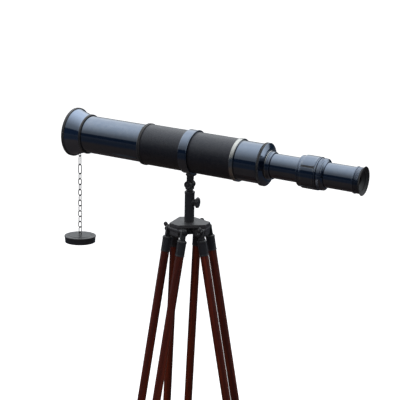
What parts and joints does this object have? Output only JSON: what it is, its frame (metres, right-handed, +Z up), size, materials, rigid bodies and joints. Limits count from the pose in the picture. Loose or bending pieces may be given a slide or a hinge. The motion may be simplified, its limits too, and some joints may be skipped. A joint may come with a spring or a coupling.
{
  "type": "telescope on tripod",
  "caption": "Floor-standing refractor telescope with a leather-wrapped barrel, chained lens cap and a folding wooden tripod with sliding lower legs.",
  "frame": {"origin": "on the floor, under the middle of the bounding box of the whole object", "axes": "+Z up, +X along the optical axis towards the eyepiece, as seen from above"},
  "size_m": [0.8408, 0.5024, 1.5242],
  "materials": {
    "dark_bronze": "glossy near-black bronze plating",
    "bright_ring": "satin",
    "black_hide": "fine grained black",
    "lens_glass": "coated glass",
    "black_rubber": "matte",
    "chain_metal": "darkened",
    "red_wood": "satin red-brown mahogany stain",
    "black_metal": "satin black paint"
  },
  "bodies": {
    "head": {"tripod_head": "black_metal", "column": "black_metal", "rear_leg_hinge_bolt": "black_metal", "right_leg_hinge_bolt": "black_metal", "left_leg_hinge_bolt": "black_metal"},
    "post": {"center_post": "black_metal"},
    "yoke": {"tilt_yoke": "black_metal", "tilt_bolt": "black_metal"},
    "telescope": {"saddle": "black_metal", "clamp_band": "dark_bronze", "main_tube": "dark_bronze", "leather_wrap": "black_hide", "front_ring": "dark_bronze", "front_tube": "dark_bronze", "objective_cell": "black_metal", "objective_lens": "lens_glass", "objective_bell": "dark_bronze", "rear_ring": "bright_ring", "rear_housing": "dark_bronze", "chain_eye": "chain_metal"},
    "draw": {"draw_tube": "dark_bronze", "erector_lens": "lens_glass", "focus_sleeve": "dark_bronze"},
    "focus": {"focus_ring": "dark_bronze"},
    "eyepiece": {"eyepiece_tube": "dark_bronze", "eyepiece_mount": "dark_bronze", "eye_lens": "lens_glass", "eye_cup": "black_rubber"},
    "upper_chain": {"chain_upper": "chain_metal"},
    "lower_chain": {"chain_lower": "chain_metal"},
    "cap": {"lens_cap": "dark_bronze"},
    "tilt_thumb_nut": {"tilt_nut": "black_metal"},
    "column_clamp": {"column_knob": "black_metal"},
    "rear_leg": {"rear_leg_socket_a": "black_metal", "rear_leg_socket_b": "black_metal", "rear_leg_rod_a": "red_wood", "rear_leg_rod_b": "red_wood", "rear_leg_bracket": "black_metal"},
    "rear_leg_lower": {"rear_leg_lower_slat": "red_wood", "rear_leg_foot": "black_rubber"},
    "rear_leg_nut": {"rear_leg_hinge_nut": "black_metal"},
    "rear_leg_clamp": {"rear_leg_clamp_knob": "black_metal"},
    "right_leg": {"right_leg_socket_a": "black_metal", "right_leg_socket_b": "black_metal", "right_leg_rod_a": "red_wood", "right_leg_rod_b": "red_wood", "right_leg_bracket": "black_metal"},
    "right_leg_lower": {"right_leg_lower_slat": "red_wood", "right_leg_foot": "black_rubber"},
    "right_leg_nut": {"right_leg_hinge_nut": "black_metal"},
    "right_leg_clamp": {"right_leg_clamp_knob": "black_metal"},
    "left_leg": {"left_leg_socket_a": "black_metal", "left_leg_socket_b": "black_metal", "left_leg_rod_a": "red_wood", "left_leg_rod_b": "red_wood", "left_leg_bracket": "black_metal"},
    "left_leg_lower": {"left_leg_lower_slat": "red_wood", "left_leg_foot": "black_rubber"},
    "left_leg_nut": {"left_leg_hinge_nut": "black_metal"},
    "left_leg_clamp": {"left_leg_clamp_knob": "black_metal"}
  },
  "joints": [
    {"name": "post_lift", "type": "slide", "parent": "head", "child": "post", "axis": [0, 0, 1], "range_m": [0, 0.06]},
    {"name": "yoke_pan", "type": "hinge", "parent": "post", "child": "yoke", "pos_m": [-0.04433, 0.01966, 1.361], "axis": [0, 0, 1], "continuous": true},
    {"name": "tube_tilt", "type": "hinge", "parent": "yoke", "child": "telescope", "pos_m": [-0.04433, 0.01966, 1.361], "axis": [0, 1, 0], "range_deg": [-35, 60]},
    {"name": "tilt_nut_turn", "type": "hinge", "parent": "yoke", "child": "tilt_thumb_nut", "pos_m": [-0.04433, 0.01966, 1.361], "axis": [0, 1, 0], "continuous": true},
    {"name": "column_knob_turn", "type": "hinge", "parent": "head", "child": "column_clamp", "pos_m": [-0.04433, 0.01966, 1.315], "axis": [0.9895, 0.1444, 0], "continuous": true},
    {"name": "draw_slide", "type": "slide", "parent": "telescope", "child": "draw", "axis": [0.999, 0, -0.0436], "range_m": [-0.068, 0.045]},
    {"name": "focus_turn", "type": "hinge", "parent": "draw", "child": "focus", "pos_m": [-0.04067, 0.01966, 1.44492], "axis": [0.999, 0, -0.0436], "range_deg": [-180, 180]},
    {"name": "eyepiece_slide", "type": "slide", "parent": "draw", "child": "eyepiece", "axis": [0.999, 0, -0.0436], "range_m": [-0.0101, 0.0101]},
    {"name": "chain_upper_swing", "type": "hinge", "parent": "telescope", "child": "upper_chain", "pos_m": [-0.3781, 0.01966, 1.39659], "axis": [0, 1, 0], "range_deg": [-35, 40]},
    {"name": "chain_lower_swing", "type": "hinge", "parent": "upper_chain", "child": "lower_chain", "pos_m": [-0.3781, 0.01966, 1.27559], "axis": [1, 0, 0], "range_deg": [-38, 38]},
    {"name": "cap_swing", "type": "hinge", "parent": "lower_chain", "child": "cap", "pos_m": [-0.3781, 0.01966, 1.18789], "axis": [1, 0, 0], "range_deg": [-35, 35]},
    {"name": "rear_leg_fold", "type": "hinge", "parent": "head", "child": "rear_leg", "pos_m": [-0.00277, 0.02572, 1.249], "axis": [-0.1444, 0.9895, 0], "range_deg": [-20, 10]},
    {"name": "rear_leg_extend", "type": "slide", "parent": "rear_leg", "child": "rear_leg_lower", "axis": [-0.1786, -0.0261, 0.9836], "range_m": [-0.1, 0.42]},
    {"name": "rear_leg_nut_turn", "type": "hinge", "parent": "head", "child": "rear_leg_nut", "pos_m": [-0.00277, 0.02572, 1.249], "axis": [-0.1444, 0.9895, 0], "continuous": true},
    {"name": "rear_leg_clamp_turn", "type": "hinge", "parent": "rear_leg", "child": "rear_leg_clamp", "pos_m": [0.13701, 0.04611, 0.47935], "axis": [0.9733, 0.142, 0.1805], "continuous": true},
    {"name": "right_leg_fold", "type": "hinge", "parent": "head", "child": "right_leg", "pos_m": [-0.07036, 0.05262, 1.249], "axis": [-0.7848, -0.6198, 0], "range_deg": [-20, 10]},
    {"name": "right_leg_extend", "type": "slide", "parent": "right_leg", "child": "right_leg_lower", "axis": [0.1119, -0.1417, 0.9836], "range_m": [-0.1, 0.42]},
    {"name": "right_leg_nut_turn", "type": "hinge", "parent": "head", "child": "right_leg_nut", "pos_m": [-0.07036, 0.05262, 1.249], "axis": [-0.7848, -0.6198, 0], "continuous": true},
    {"name": "right_leg_clamp_turn", "type": "hinge", "parent": "right_leg", "child": "right_leg_clamp", "pos_m": [-0.15791, 0.16347, 0.47935], "axis": [-0.6096, 0.7719, 0.1805], "continuous": true},
    {"name": "left_leg_fold", "type": "hinge", "parent": "head", "child": "left_leg", "pos_m": [-0.05986, -0.01937, 1.249], "axis": [0.9291, -0.3697, 0], "range_deg": [-20, 10]},
    {"name": "left_leg_extend", "type": "slide", "parent": "left_leg", "child": "left_leg_lower", "axis": [0.0667, 0.1677, 0.9836], "range_m": [-0.1, 0.42]},
    {"name": "left_leg_nut_turn", "type": "hinge", "parent": "head", "child": "left_leg_nut", "pos_m": [-0.05986, -0.01937, 1.249], "axis": [0.9291, -0.3697, 0], "continuous": true},
    {"name": "left_leg_clamp_turn", "type": "hinge", "parent": "left_leg", "child": "left_leg_clamp", "pos_m": [-0.11209, -0.15061, 0.47935], "axis": [-0.3637, -0.9139, 0.1805], "continuous": true}
  ],
  "couplings": [
    {"joint": "eyepiece_slide", "follows": "focus_turn", "m_per_rad": 0.0031831}
  ]
}
